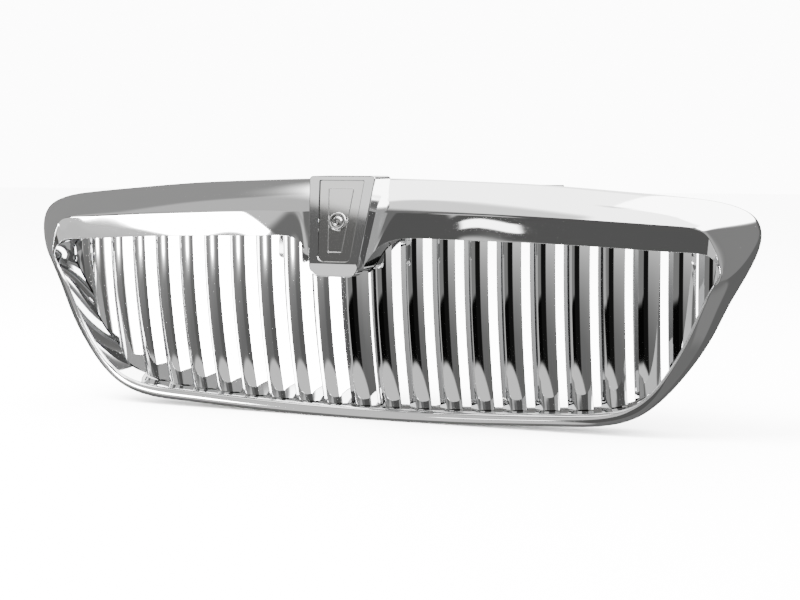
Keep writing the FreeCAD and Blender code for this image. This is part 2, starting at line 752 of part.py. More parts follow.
def mount_bracket():
    """Right-hand bracket: a plate on the lug, an arm rearwards and a foot with the hole."""
    y0 = FRAME_BACK_Y
    far = y0 + BRACKET_REACH
    z0, z1 = BRACKET_Z
    base = box(BRACKET_X[0], BRACKET_X[1], y0, y0 + BRACKET_THICK, z0, z1)
    arm = box(BRACKET_X[0], BRACKET_X[0] + BRACKET_THICK, y0, far, z0, z1)
    foot = box(BRACKET_FOOT_X, BRACKET_X[0] + BRACKET_THICK, far - BRACKET_THICK, far, z0, z1)
    body = base.fuse([arm, foot]).removeSplitter()
    ends = [e for e in body.Edges if e.BoundBox.YLength > 1 and e.BoundBox.XLength < 0.1
            and e.BoundBox.ZLength < 0.1 and e.BoundBox.XMax < BRACKET_FOOT_X + 1]
    body = body.makeFillet(6.0, ends)
    for z in BRACKET_SCREW_Z:
        body = body.cut(rod(BRACKET_SCREW_X, y0 - 5, z, BRACKET_SCREW_R, 20))
    return body.cut(rod(BRACKET_HOLE_X, far - 10, BRACKET_HOLE_Z, BRACKET_HOLE_R, 20))


def bracket_screws():
    screws = []
    for z in BRACKET_SCREW_Z:
        y0 = FRAME_BACK_Y - 9
        y1 = FRAME_BACK_Y + BRACKET_THICK
        shank = rod(BRACKET_SCREW_X, y0, z, BRACKET_SCREW_R, y1 - y0)
        head = rod(BRACKET_SCREW_X, y1, z, BRACKET_HEAD_R, BRACKET_HEAD_H)
        head = head.makeFillet(1.0, [max(head.Edges, key=lambda e: e.CenterOfMass.y)])
        socket = rod(BRACKET_SCREW_X, y1 + 1.2, z, 1.3, 5)
        screws.append(head.fuse(shank).removeSplitter().cut(socket))
    return group(screws + [mirrored(s) for s in screws])


# ---------------------------------------------------------------- surround with its bosses

def surround_frame(hull):
    extra = []
    for i in both_sides(UPPER_SCREWS + LOWER_SCREWS):
        x, z, front = screw_place(i)
        rear = front + LEDGE_DEEP
        extra.append(rod(x, rear - BOSS_DEEP - 3, z, BOSS_R, BOSS_DEEP + 3))
    for x in lug_places():
        top = edge_height(x) + 1.5
        extra.append(box(x - LUG_HALF, x + LUG_HALF, LUG_FRONT_Y + 1, LUG_BACK_Y, BOLT_LINE_Z, top))
    extra += [bracket_lug(), mirrored(bracket_lug())]
    shell = surround().fuse([e.common(hull) for e in extra])
    holes = screw_holes(UPPER_SCREWS + LOWER_SCREWS)
    for x in lug_places():
        holes.append(Part.makeCylinder(RAIL_SCREW_R, 7.5, V(x, LUG_SCREW_Y, BOLT_LINE_Z - 0.1)))
    for x in (-BRACKET_SCREW_X, BRACKET_SCREW_X):
        for z in BRACKET_SCREW_Z:
            holes.append(rod(x, FRAME_BACK_Y - 10, z, BRACKET_SCREW_R, 11))
    for x in (-STUD_X, STUD_X):
        for z in STUD_Z:
            holes.append(rod(x, -60, z, STUD_SHOULDER_R + 0.2, 100))
    return largest(shell.cut(holes))


def edge_height(x):
    """Height of the outer top edge at a place x, straight between stations."""
    edges = [V(*row[2]) for row in STATIONS[:9]]
    for a, b in zip(edges, edges[1:]):
        if a.x <= abs(x) <= b.x:
            return a.z + (abs(x) - a.x) / (b.x - a.x) * (b.z - a.z)
    return edges[-1].z


# ---------------------------------------------------------------- everything

os.makedirs(PARTS_DIR, exist_ok=True)
hull = surround_hull()
frame = surround_frame(hull)
save(frame, "surround_frame")
points = outline(-TRIM_GAP)
pockets = []
for i in range(BARS_EACH_SIDE + 1):
    one = bar(i, points)
    save(one, "bar_%02d" % (BARS_EACH_SIDE + 1 + i))
    pockets.append(bar_tab(i, TAB_CLEAR))
    if i > 0:
        save(mirrored(one), "bar_%02d" % (BARS_EACH_SIDE + 1 - i))
        pockets.append(mirrored(bar_tab(i, TAB_CLEAR)))
upper, lower = carriers(pockets)
save(upper, "upper_bar_carrier")
save(lower, "lower_bar_carrier")
right_bracket = mount_bracket()
pieces = {
    "carrier_screws_upper": carrier_screws(UPPER_SCREWS),
    "carrier_screws_lower": carrier_screws(LOWER_SCREWS),
    "lower_locating_pins": lower_locating_pins(),
    "rest_pads": rest_pads(),
    "emblem_pod": pod(hull),
    "emblem_tablet": tablet(),
    "tablet_trim": tablet_trim(),
    "badge_ring": badge_ring(),
    "badge_screw": badge_screw(),
    "pod_retainer": pod_retainer(),
    "pod_nuts": pod_nuts(),
    "upper_mount_rail": upper_mount_rail(),
    "rail_screws": rail_screws(),
    "speed_nuts": speed_nuts(),
    "weather_seal": weather_seal(),
    "mount_bracket_right": right_bracket,
    "mount_bracket_left": mirrored(right_bracket),
    "bracket_screws": bracket_screws(),
}
for name, shape in pieces.items():
    save(shape, name)
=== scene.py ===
import json
import math

import bpy
import numpy as np
from mathutils import Matrix, Vector
from mathutils.bvhtree import BVHTree

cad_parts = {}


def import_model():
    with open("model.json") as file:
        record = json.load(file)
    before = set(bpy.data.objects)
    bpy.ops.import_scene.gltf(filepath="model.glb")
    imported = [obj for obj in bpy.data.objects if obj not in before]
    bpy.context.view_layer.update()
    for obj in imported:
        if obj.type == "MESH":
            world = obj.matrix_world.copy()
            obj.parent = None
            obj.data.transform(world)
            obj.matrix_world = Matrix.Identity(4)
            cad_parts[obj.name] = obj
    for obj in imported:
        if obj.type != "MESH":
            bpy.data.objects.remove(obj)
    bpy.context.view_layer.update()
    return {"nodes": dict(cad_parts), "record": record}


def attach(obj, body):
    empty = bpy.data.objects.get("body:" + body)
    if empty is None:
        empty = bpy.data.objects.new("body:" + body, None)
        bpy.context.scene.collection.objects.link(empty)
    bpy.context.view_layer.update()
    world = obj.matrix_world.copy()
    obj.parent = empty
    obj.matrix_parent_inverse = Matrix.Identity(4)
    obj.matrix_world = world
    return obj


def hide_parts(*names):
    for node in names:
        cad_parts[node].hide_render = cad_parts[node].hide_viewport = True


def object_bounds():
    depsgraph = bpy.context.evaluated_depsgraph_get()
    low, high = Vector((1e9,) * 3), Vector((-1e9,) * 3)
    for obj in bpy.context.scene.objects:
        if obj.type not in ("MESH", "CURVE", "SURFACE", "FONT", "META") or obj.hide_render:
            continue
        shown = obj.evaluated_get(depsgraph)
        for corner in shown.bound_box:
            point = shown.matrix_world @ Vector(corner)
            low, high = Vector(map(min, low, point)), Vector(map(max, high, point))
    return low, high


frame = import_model()

# ------------------------------------------------------------------ driving dimensions (mm)
# Modelling axes: x right, y rearwards, z up, x = 0 the middle plane, y = 0 the front of the
# centre bar at its top, z = 0 the top of the opening. ORIGIN is the frame's origin in them.
ORIGIN = np.array((0.0, 92.0, 51.0))
MM = 0.001

BAR_PITCH = 38.0
BARS_EACH_SIDE = 11
LAST_BAR_X = 412.0
BAR_FACE = 20.0
BAR_CROWN = 2.4
FACET_WIDE, FACET_DEEP = 10.3, 8.7
CENTRE_FACET_WIDE, CENTRE_FACET_DEEP = 6.8, 5.75
BAR_DEEP = 20.0
BAR_REAR_INSET = 6.0
CREASE_ROUND = 0.5
TAB = (-9.0, 3.0, 15.5, 19.5)
TAB_REACH = 7.0
BOW_SPAN, BOW_2, BOW_4 = 470.0, 62.3, 13.9
TUCK, OPENING_H = 34.1, 205.7
TRIM_GAP = 0.3

SKIN = 3.0
EDGE_BULGE = 3.0
FRAME_BACK_Y = 74.0
FRAME_DRAFT = 2.0
LEDGE_DEEP = 14.0
LEDGE_DRAFT = 1.0

STATIONS = (
    # rim (x, y, z)          nose (x, y, z)           edge (x, y, z), right half from the top
    ((0, -40, -40),          (0, -18, 29.5),          (0, 18, 67)),
    ((25, -40, -37),         (34, -17.5, 29.4),       (42, 18.4, 66.7)),
    ((42, -37, -15),         (54, -17, 29.2),         (66, 19, 66.2)),
    ((64, -26, -2),          (78, -16, 28.9),         (92, 20, 65.5)),
    ((104, -13, -0.9),       (114, -14.6, 28.3),      (124, 21.7, 64.4)),
    ((200, -6, -3.2),        (205, -11, 25.6),        (213, 26.5, 60.7)),
    ((300, 2.5, -7.2),       (300, -5.3, 21),         (305, 33.5, 53.9)),
    ((370, 10, -10.9),       (366, 0, 17.4),          (383, 41.4, 47.0)),
    ((398, 13.5, -12.6),     (393, 2.4, 14.9),        (424, 47, 40)),
    ((411, 14.8, -18),       (409, 8, 3),             (449, 50, 27.5)),
    ((418, 15, -31),         (419.5, 12.4, -29),      (457.6, 49.5, 5)),
    ((412, 15.4, -46),       (414.5, 12.6, -46.5),    (448, 46, -28)),
    ((397, 16.6, -76.5),     (399.4, 13.6, -77.6),    (426, 41, -70)),
    ((383, 18.2, -109),      (385.2, 15.2, -110.3),   (408, 37, -108)),
    ((363, 21, -145),        (365, 18, -146.8),       (385, 33.6, -144.5)),
    ((344, 23, -170),        (345.6, 20, -172),       (361, 31, -173.5)),
    ((320, 24.6, -186.5),    (321, 21.6, -189),       (332, 30, -197)),
    ((288, 25.6, -194.6),    (288.4, 22.4, -197.4),   (294, 29.4, -209.6)),
    ((240, 25.4, -198.4),    (240, 22.2, -201.4),     (243, 28.8, -213.6)),
    ((150, 24.4, -202.2),    (150, 21.2, -205.2),     (151, 27.8, -217.8)),
    ((75, 23.4, -204.2),     (75, 20.2, -207.2),      (75, 27, -219.6)),
    ((0, 23, -205),          (0, 19.8, -208),         (0, 26.6, -220.3)),
)

POD_FOOT = (-57.0, -29.0)
POD_HEAD = (-28.5, 70.0)
POD_HALF_TOP, POD_HALF_LOW = 41.0, 30.5
POD_CORNER, POD_TOP_CORNER = 12.0, 4.0
POD_FOOT_DRAFT = 1.5       # the bevel below is this much narrower on each side
POD_TOP_Z, POD_TOP_BACK_Y = 66.4, 19.0    # above this height the walls end at this depth
POD_BEVEL_H, POD_BEVEL_SET = 13.5, 5.0
TABLET_HALF_TOP, TABLET_HALF_LOW = 27.0, 19.3
TABLET_FOOT_T, TABLET_LEN, TABLET_CORNER = 3.0, 94.5, 7.0
TABLET_POCKET, TABLET_THICK = 3.2, 1.8
TRIM_HALF_TOP, TRIM_HALF_LOW = 15.8, 8.7
TRIM_FOOT_T, TRIM_LEN, TRIM_WIDE, TRIM_HIGH = 13.5, 75.5, 1.0, 0.5
TRIM_CORNER = 1.2
BADGE_T = 49.5
BADGE_RING_R, BADGE_RING_HOLE, BADGE_RING_HIGH = 10.6, 7.6, 3.0
BADGE_RING_ROUND = 1.3
BADGE_HEAD_R, BADGE_HEAD_HIGH, BADGE_SOCKET_R = 7.4, 4.6, 2.6
BADGE_SOCKET_FLOOR = 1.8   # height of the socket's floor over the tablet


# ------------------------------------------------------------------ mesh helpers

def world(points):
    """Modelling millimetres to the frame's metres."""
    return (np.asarray(points, float) - ORIGIN) * MM


def make_mesh(name, verts, faces, smooth_angle=30.0):
    mesh = bpy.data.meshes.new(name)
    mesh.from_pydata([tuple(v) for v in verts], [], [tuple(int(i) for i in f) for f in faces])
    mesh.validate()
    mesh.update()
    obj = bpy.data.objects.new(name, mesh)
    bpy.context.scene.collection.objects.link(obj)
    mesh.shade_smooth()
    sharpen(obj, smooth_angle)
    return obj


def sharpen(obj, angle):
    """Marks edges sharper than angle (degrees), so creases stay crisp under smooth shading."""
    mesh = obj.data
    normals = {}
    for poly in mesh.polygons:
        for key in poly.edge_keys:
            normals.setdefault(key, []).append(poly.normal)
    limit = math.cos(math.radians(angle))
    sharp = mesh.attributes.new("sharp_edge", "BOOLEAN", "EDGE")
    for k, edge in enumerate(mesh.edges):
        pair = normals.get(tuple(sorted(edge.vertices)), [])
        sharp.data[k].value = len(pair) == 2 and pair[0].dot(pair[1]) < limit


def grid_faces(rows, cols, wrap_rows=False, wrap_cols=False, first=0, flip=False):
    faces = []
    for r in range(rows if wrap_rows else rows - 1):
        for c in range(cols if wrap_cols else cols - 1):
            a = r * cols + c
            b = r * cols + (c + 1) % cols
            d = ((r + 1) % rows) * cols + c
            e = ((r + 1) % rows) * cols + (c + 1) % cols
            quad = (a, b, e, d) if not flip else (a, d, e, b)
            faces.append(tuple(first + i for i in quad))
    return faces


def finish_piece(obj, node):
    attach(obj, "root")
    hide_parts(node)
    return obj


# ------------------------------------------------------------------ curves of the object

def bow(x):
    t = x / BOW_SPAN
    return BOW_2 * t ** 2 + BOW_4 * t ** 4


def bow_angle(x):
    t = x / BOW_SPAN
    return math.atan((2 * BOW_2 * t + 4 * BOW_4 * t ** 3) / BOW_SPAN)


def front_y(x, z):
    return bow(x) + TUCK * (np.maximum(0.0, -np.asarray(z, float)) / OPENING_H) ** 2


def ring_stations():
    right = np.array(STATIONS, float)
    left = right[1:-1][::-1].copy()
    left[:, :, 0] *= -1
    return np.concatenate([right, left])


RING = ring_stations()
STEPS = (np.linalg.norm(np.roll(RING, -1, 0)[:, 0] - RING[:, 0], axis=1)
         + np.linalg.norm(np.roll(RING, -1, 0)[:, 2] - RING[:, 2], axis=1)) / 2
KNOTS = np.concatenate([[0.0], np.cumsum(STEPS)])


def periodic_spline(values, where):
    """Smooth closed curve through values at KNOTS, read at the parameters in where."""
    n = len(values)
    h = np.diff(KNOTS)
    slopes = (np.roll(values, -1, 0) - values) / h[:, None]
    system = np.zeros((n, n))
    right = np.zeros_like(values)
    for i in range(n):
        before = h[i - 1]
        system[i, i - 1] += before
        system[i, i] += 2 * (before + h[i])
        system[i, (i + 1) % n] += h[i]
        right[i] = 6 * (slopes[i] - slopes[i - 1])
    bend = np.linalg.solve(system, right)
    k = np.clip(np.searchsorted(KNOTS, where, side="right") - 1, 0, n - 1)
    after = (k + 1) % n
    step = h[k][:, None]
    a = ((KNOTS[k + 1] - where)[:, None]) / step
    b = 1 - a
    return (a * values[k] + b * values[after]
            + ((a ** 3 - a) * bend[k] + (b ** 3 - b) * bend[after]) * step ** 2 / 6)


def outward_stations():
    along = np.roll(RING, -1, 0)[:, 2] - np.roll(RING, 1, 0)[:, 2]
    out = np.stack([-along[:, 2], np.zeros(len(RING)), along[:, 0]], axis=1)
    return out / np.linalg.norm(out, axis=1)[:, None]


OUTWARD = outward_stations()
BACK = np.array((0.0, 1.0, 0.0))


def skin_stations():
    """Corner points of the surround's section at every station, outside then inside."""
    rim, nose, edge = RING[:, 0], RING[:, 1], RING[:, 2]
    out = OUTWARD
    ledge = rim + out * LEDGE_DRAFT
    ledge[:, 1] = front_y(rim[:, 0], rim[:, 2]) + LEDGE_DEEP
    slope = edge - nose
    across = np.sum(slope * out, axis=1)
    rise = np.hypot(across, slope[:, 1])
    bulge = (out * slope[:, 1:2] - BACK * across[:, None]) * (EDGE_BULGE / rise)[:, None]
    swell = (nose + edge) / 2 + bulge
    rear = edge - out * FRAME_DRAFT
    rear[:, 1] = FRAME_BACK_Y
    inner = [rear - out * SKIN, edge - out * SKIN + BACK * SKIN,
             swell - out * SKIN / 2 + BACK * SKIN, nose + out + BACK * SKIN,
             rim + out * SKIN + BACK * SKIN, ledge + out * SKIN]
    return [ledge, rim, nose, swell, edge, rear] + inner


# ------------------------------------------------------------------ surround

RING_SAMPLES = 960


def soften(before, corner, after, size, count=5):
    """Rows of points that round a corner of the section; size is how far back it starts."""
    back = before - corner
    fore = after - corner
    reach_a = np.minimum(size, 0.45 * np.linalg.norm(back, axis=1))[:, None]
    reach_b = np.minimum(size, 0.45 * np.linalg.norm(fore, axis=1))[:, None]
    a = corner + back / np.linalg.norm(back, axis=1)[:, None] * reach_a
    b = corner + fore / np.linalg.norm(fore, axis=1)[:, None] * reach_b
    rows = []
    for t in np.linspace(0, 1, count):
        rows.append((1 - t) ** 2 * a + 2 * t * (1 - t) * corner + t ** 2 * b)
    return rows


def slope_rows(nose, swell, edge, first, last, count):
    """The swelling slope between nose and edge, between two fractions of its length."""
    control = 2 * swell - (nose + edge) / 2
    return [(1 - t) ** 2 * nose + 2 * t * (1 - t) * control + t ** 2 * edge
            for t in np.linspace(first, last, count)]


def build_surround():
    where = np.linspace(0, KNOTS[-1], RING_SAMPLES, endpoint=False)
    corners = [periodic_spline(c, where) for c in skin_stations()]
    ledge, rim, nose, swell, edge, rear = corners[:6]
    inner = corners[6:]
    slope = slope_rows(nose, swell, edge, 0.06, 0.9, 14)
    rows = [ledge]
    rows += soften(ledge, rim, nose, 0.8)
    rows += soften(rim, nose, slope[0], 1.4)
    rows += slope
    rows += soften(slope[-1], edge, rear, 4.0, 7)
    rows += soften(edge, rear, inner[0], 0.6, 3)
    rows += inner
    verts = np.concatenate([world(r) for r in rows])
    faces = grid_faces(len(rows), RING_SAMPLES, wrap_rows=True, wrap_cols=True)
    obj = make_mesh("surround", verts, faces, 28)
    return finish_piece(obj, "surround_frame")


# ------------------------------------------------------------------ bars

def opening_limits():
    """Dense outline of the opening as x with its upper and lower z."""
    where = np.linspace(0, KNOTS[-1], 4000, endpoint=False)
    rim = periodic_spline(RING[:, 0] - OUTWARD * TRIM_GAP, where)
    return rim[:, 0], rim[:, 2]


OUTLINE_X, OUTLINE_Z = opening_limits()
WIDEST = int(np.argmax(OUTLINE_X))
LOWEST = int(np.argmax((OUTLINE_X < 0) & (np.arange(len(OUTLINE_X)) > WIDEST)))
WIDEST_X = OUTLINE_X[WIDEST] - 0.4


def limits_at(x):
    """Lowest and highest z of the opening at x; the outline runs down from the top centre."""
    x = min(abs(x), WIDEST_X)
    high = np.interp(x, OUTLINE_X[:WIDEST], OUTLINE_Z[:WIDEST])
    low = np.interp(x, OUTLINE_X[WIDEST:LOWEST][::-1], OUTLINE_Z[WIDEST:LOWEST][::-1])
    return low, high


def bar_x(i):
    if abs(i) == BARS_EACH_SIDE:
        return math.copysign(LAST_BAR_X, i)
    return i * BAR_PITCH


def bar_profile(facets):
    """Section of a bar as (across, forward) points, clockwise seen from above."""
    half = BAR_FACE / 2
    both = len(facets) == 2
    wide = CENTRE_FACET_WIDE if both else FACET_WIDE
    deep = CENTRE_FACET_DEEP if both else FACET_DEEP
    radius = (half ** 2 + BAR_CROWN ** 2) / (2 * BAR_CROWN)
    face_angle = math.asin((half - CREASE_ROUND) / radius)
    points = []
    for a in np.linspace(-face_angle, face_angle, 15):
        points.append((radius * math.sin(a), radius * (math.cos(a) - 1)))
    for side in ("right", "left"):
        sign = 1 if side == "right" else -1
        if side in facets:
            run = math.hypot(wide, deep)
            ux, un = wide / run, -deep / run
            edge = (half + wide, -BAR_CROWN - deep)
            chain = [(half + CREASE_ROUND * ux, -BAR_CROWN + CREASE_ROUND * un),
                     (half + wide * 0.5, -BAR_CROWN - deep * 0.5),
                     (edge[0] - CREASE_ROUND * ux, edge[1] - CREASE_ROUND * un),
                     (edge[0] - 0.1, edge[1] - CREASE_ROUND),
                     (half + wide - BAR_REAR_INSET, -BAR_DEEP)]
        else:
            chain = [(half - 0.05, -BAR_CROWN - CREASE_ROUND), (half - BAR_REAR_INSET, -BAR_DEEP)]
        chain = [(sign * a, n) for a, n in chain]
        points = points + chain if side == "right" else chain[::-1] + points
    return points


BAR_ROWS = 48


def build_bar(i):
    x = bar_x(i)
    facets = ("left", "right") if i == 0 else (("left",) if i > 0 else ("right",))
    turn = bow_angle(x)
    across = np.array((math.cos(turn), math.sin(turn), 0))
    forward = np.array((math.sin(turn), -math.cos(turn), 0))
    profile = bar_profile(facets)
    verts = np.zeros((BAR_ROWS, len(profile), 3))
    fractions = np.linspace(0, 1, BAR_ROWS)
    for c, (a, n) in enumerate(profile):
        place_x = x + a * across[0] + n * forward[0]
        if abs(place_x) > WIDEST_X:
            place_x = math.copysign(WIDEST_X, place_x)
        low, high = limits_at(place_x)
        z = low + (high - low) * fractions
        verts[:, c, 0] = place_x
        verts[:, c, 1] = front_y(x, z) + a * across[1] + n * forward[1]
        verts[:, c, 2] = z
    count = len(profile)
    faces = grid_faces(BAR_ROWS, count, wrap_cols=True)
    faces.append(tuple(range(count))[::-1])
    faces.append(tuple((BAR_ROWS - 1) * count + c for c in range(count)))
    flat = verts.reshape(-1, 3)
    tab_verts, tab_faces = bar_tab(i, across, forward, len(flat))
    obj = make_mesh("bar_%02d_chrome" % (i + BARS_EACH_SIDE + 1),
                    world(np.concatenate([flat, tab_verts])), faces + tab_faces, 18)
    return finish_piece(obj, "bar_%02d" % (i + BARS_EACH_SIDE + 1))


def bar_tab(i, across, forward, first):
    x = bar_x(i)
    side = -1 if i < 0 else 1
    low, high = limits_at(x)
    rows = []
    for z in np.linspace(low - TAB_REACH, high + TAB_REACH, 10):
        place = np.array((x, float(front_y(x, z)), z))
        for a, n in ((TAB[0], TAB[2]), (TAB[1], TAB[2]), (TAB[1], TAB[3]), (TAB[0], TAB[3])):
            rows.append(place + across * (side * a) - forward * n)
    faces = grid_faces(10, 4, wrap_cols=True, first=first)
    faces.append((first, first + 1, first + 2, first + 3))
    faces.append((first + 39, first + 38, first + 37, first + 36))
    return np.array(rows), faces


# ------------------------------------------------------------------ pod, tablet and badge

LEAN = np.array((0.0, POD_HEAD[0] - POD_FOOT[0], POD_HEAD[1] - POD_FOOT[1]))
POD_TALL = float(np.linalg.norm(LEAN))
UP = LEAN / POD_TALL
OUT = np.array((0.0, -UP[2], UP[1]))


def on_plane(s, t, n):
    return np.array((s, POD_FOOT[0], POD_FOOT[1])) + UP * t + OUT * n


def rounded_trapezoid(half_top, half_low, foot, head, radius_top, radius_low, inset=0.0):
    """Loop of (s, t) with the same number of points whatever its size, from the top left."""
    lean = (half_top - half_low) / (head - foot)
    half = lambda t: half_low + lean * (t - foot)
    ht, hl = half(head - inset) - inset, half(foot + inset) - inset
    corners = [(-ht, head - inset), (-hl, foot + inset), (hl, foot + inset), (ht, head - inset)]
    radii = [max(0.05, r - inset) for r in (radius_top, radius_low, radius_low, radius_top)]
    loop = []
    for k in range(4):
        here = Vector(corners[k])
        before = (Vector(corners[k - 1]) - here)
        after = (Vector(corners[(k + 1) % 4]) - here)
        open_angle = before.angle(after)
        reach = radii[k] / math.tan(open_angle / 2)
        start = here + before.normalized() * reach
        end = here + after.normalized() * reach
        following = Vector(corners[(k + 1) % 4])
        for t in np.linspace(0, 1, 9):
            loop.append(arc_point(start, here, end, open_angle, radii[k], t))
        next_before = (here - following)
        next_angle = next_before.angle(Vector(corners[(k + 2) % 4]) - following)
        next_reach = radii[(k + 1) % 4] / math.tan(next_angle / 2)
        next_start = following + next_before.normalized() * next_reach
        for t in np.linspace(0, 1, 14)[1:-1]:
            loop.append(end.lerp(next_start, t))
    return [(p[0], p[1]) for p in loop]


def arc_point(start, corner, end, open_angle, radius, t):
    middle = (start + end) / 2
    centre = corner + (middle - corner).normalized() * (radius / math.sin(open_angle / 2))
    a = start - centre
    b = end - centre
    sweep = math.pi - open_angle
    return centre + (a * math.sin((1 - t) * sweep) + b * math.sin(t * sweep)) / math.sin(sweep)


def bevel_n(t):
    return t * POD_BEVEL_SET * 1.15 / (POD_BEVEL_H + 2) if t < 0 else 0.0


def pod_outline(inset):
    return rounded_trapezoid(POD_HALF_TOP, POD_HALF_LOW - POD_FOOT_DRAFT, -POD_BEVEL_H, POD_TALL,
                             POD_TOP_CORNER, POD_CORNER, inset)


def loops_mesh(name, loops, cap_first, cap_last, angle=12):
    count = len(loops[0])
    verts = np.concatenate([world(loop) for loop in loops])
    faces = grid_faces(len(loops), count, wrap_cols=True)
    if cap_first:
        faces.append(tuple(range(count))[::-1])
    if cap_last:
        first = (len(loops) - 1) * count
        faces.append(tuple(first + c for c in range(count)))
    return make_mesh(name, verts, faces, angle)


def tablet_outline(inset):
    return rounded_trapezoid(TABLET_HALF_TOP, TABLET_HALF_LOW, TABLET_FOOT_T,
                             TABLET_FOOT_T + TABLET_LEN, 1.0, TABLET_CORNER, inset)


def build_pod(surround):
    """Housing: pocket for the tablet, leaning front, bevel below, walls back to the surround."""
    tree = BVHTree.FromObject(surround, bpy.context.evaluated_depsgraph_get())
    place = lambda loop, n: [on_plane(s, t, n + bevel_n(t)) for s, t in loop]
    pocket = tablet_outline(-0.3)
    loops = [place(pocket, -TABLET_POCKET), place(pocket, -0.5), place(tablet_outline(-0.5), -0.12),
             place(tablet_outline(-0.9), 0.0)]
    crease = [(s, max(t, 0.0)) for s, t in pod_outline(2.2)]
    crease = [(s, t if t > 0.0 else 0.15) for s, t in crease]
    loops.append([on_plane(s, t, 0.0) for s, t in crease])
    loops.append([on_plane(s, t - 0.45 if t < 0.2 else t, bevel_n(t - 0.45) if t < 0.2 else 0.0)
                  for s, t in crease])
    for inset, sink in ((1.2, 0.0), (0.6, 0.15), (0.2, 0.5), (0.0, 1.2)):
        loops.append(place(pod_outline(inset), -sink))
    wall = loops[-1]
    back = []
    for p in wall:
        start = Vector(world(p + np.array((0, -40.0, 0))))
        hit = tree.ray_cast(start, Vector((0, 1, 0)))[0]
        y = hit.y / MM + ORIGIN[1] + 0.4 if hit else -37.8
        if p[2] > POD_TOP_Z:
            y = POD_TOP_BACK_Y
        back.append(np.array((p[0], max(y, p[1] + 1.0), p[2])))
    for f in (0.33, 0.66, 1.0):
        loops.append([a + (b - a) * f for a, b in zip(wall, back)])
    obj = loops_mesh("pod", loops, True, True)
    return finish_piece(obj, "emblem_pod")


def build_tablet():
    low = -TABLET_POCKET
    top = low + TABLET_THICK
    loops = [[on_plane(s, t, n) for s, t in tablet_outline(inset)]
             for inset, n in ((0.0, low), (0.0, top - 0.4), (0.12, top - 0.12), (0.4, top))]
    return finish_piece(loops_mesh("tablet", loops, True, True), "emblem_tablet")


def trim_outline(inset):
    return rounded_trapezoid(TRIM_HALF_TOP, TRIM_HALF_LOW, TRIM_FOOT_T, TRIM_FOOT_T + TRIM_LEN,
                             TRIM_CORNER, TRIM_CORNER, inset)


def build_trim():
    low = -TABLET_POCKET + TABLET_THICK
    top = low + TRIM_HIGH
    steps = ((0.0, low), (0.0, top - 0.2), (0.2, top), (TRIM_WIDE - 0.2, top), (TRIM_WIDE, top - 0.2),
             (TRIM_WIDE, low))
    loops = [[on_plane(s, t, n) for s, t in trim_outline(inset)] for inset, n in steps]
    loops.append(loops[0])
    return finish_piece(loops_mesh("trim", loops, False, False, 50), "tablet_trim")


def lathe(profile, segments=72, lobes=None):
    """Turned piece on the badge's axis; profile is (radius, height over the tablet)."""
    low = -TABLET_POCKET + TABLET_THICK
    rows = []
    for k, (radius, high) in enumerate(profile):
        row = []
        for a in np.linspace(0, 2 * math.pi, segments, endpoint=False):
            r = radius if lobes is None or k not in lobes else hexagon(radius, a)
            row.append(on_plane(r * math.sin(a), BADGE_T + r * math.cos(a), low + high))
        rows.append(row)
    return rows


def hexagon(radius, angle):
    """Radius of a hexagon with inner radius `radius` at an angle."""
    sector = (angle + math.pi / 6) % (math.pi / 3) - math.pi / 6
    return radius / math.cos(sector)


def build_badge_ring():
    ro, ri, h = BADGE_RING_R, BADGE_RING_HOLE, BADGE_RING_HIGH
    profile = [(ri, 0.0), (ro, 0.0)]
    r = BADGE_RING_ROUND
    profile += [(ro - r + r * math.cos(a), h - r + r * math.sin(a))
                for a in np.linspace(0, math.pi / 2, 9)]
    profile += [(ri + 0.5, h), (ri + 0.12, h - 0.12), (ri, h - 0.5), (ri, 0.0)]
    rows = lathe(profile)
    obj = loops_mesh("badge_collar", rows, False, False, 40)
    return finish_piece(obj, "badge_ring")


def build_badge_screw():
    radius = (BADGE_HEAD_R ** 2 + BADGE_HEAD_HIGH ** 2) / (2 * BADGE_HEAD_HIGH)
    centre = BADGE_HEAD_HIGH + 0.6 - radius
    start = math.asin(min(1.0, BADGE_HEAD_R / radius))
    profile = [(3.0, -12.5), (3.0, -0.02), (BADGE_HEAD_R, -0.0)]
    for a in np.linspace(start, math.asin((BADGE_SOCKET_R + 0.7) / radius), 14):
        profile.append((radius * math.sin(a), centre + radius * math.cos(a)))
    rim_h = centre + math.sqrt(radius ** 2 - (BADGE_SOCKET_R + 0.7) ** 2)
    profile += [(BADGE_SOCKET_R + 0.25, rim_h - 0.1), (BADGE_SOCKET_R, rim_h - 0.5),
                (BADGE_SOCKET_R, BADGE_SOCKET_FLOOR)]
    last = len(profile) - 1
    rows = lathe(profile, lobes=(last - 1, last))
    obj = loops_mesh("badge_socket_screw", rows, True, True, 35)
    return finish_piece(obj, "badge_screw")


# ------------------------------------------------------------------ materials

def node_material(name):
    mat = bpy.data.materials.new(name)
    mat.use_nodes = True
    tree = mat.node_tree
    shader = tree.nodes["Principled BSDF"]
    place = tree.nodes.new("ShaderNodeTexCoord")
    return mat, tree, shader, place.outputs["Object"]


def noise(tree, place, scale, detail=3.0, rough=0.5):
    node = tree.nodes.new("ShaderNodeTexNoise")
    node.inputs["Scale"].default_value = scale
    node.inputs["Detail"].default_value = detail
    node.inputs["Roughness"].default_value = rough
    tree.links.new(place, node.inputs["Vector"])
    return node.outputs["Fac"]


def ramp(tree, value, low, high):
    node = tree.nodes.new("ShaderNodeMapRange")
    node.inputs["To Min"].default_value = low
    node.inputs["To Max"].default_value = high
    tree.links.new(value, node.inputs["Value"])
    return node.outputs["Result"]


def blend_colour(tree, value, a, b):
    node = tree.nodes.new("ShaderNodeMix")
    node.data_type = "RGBA"
    node.inputs["A"].default_value = (*a, 1)
    node.inputs["B"].default_value = (*b, 1)
    tree.links.new(value, node.inputs["Factor"])
    return node.outputs["Result"]


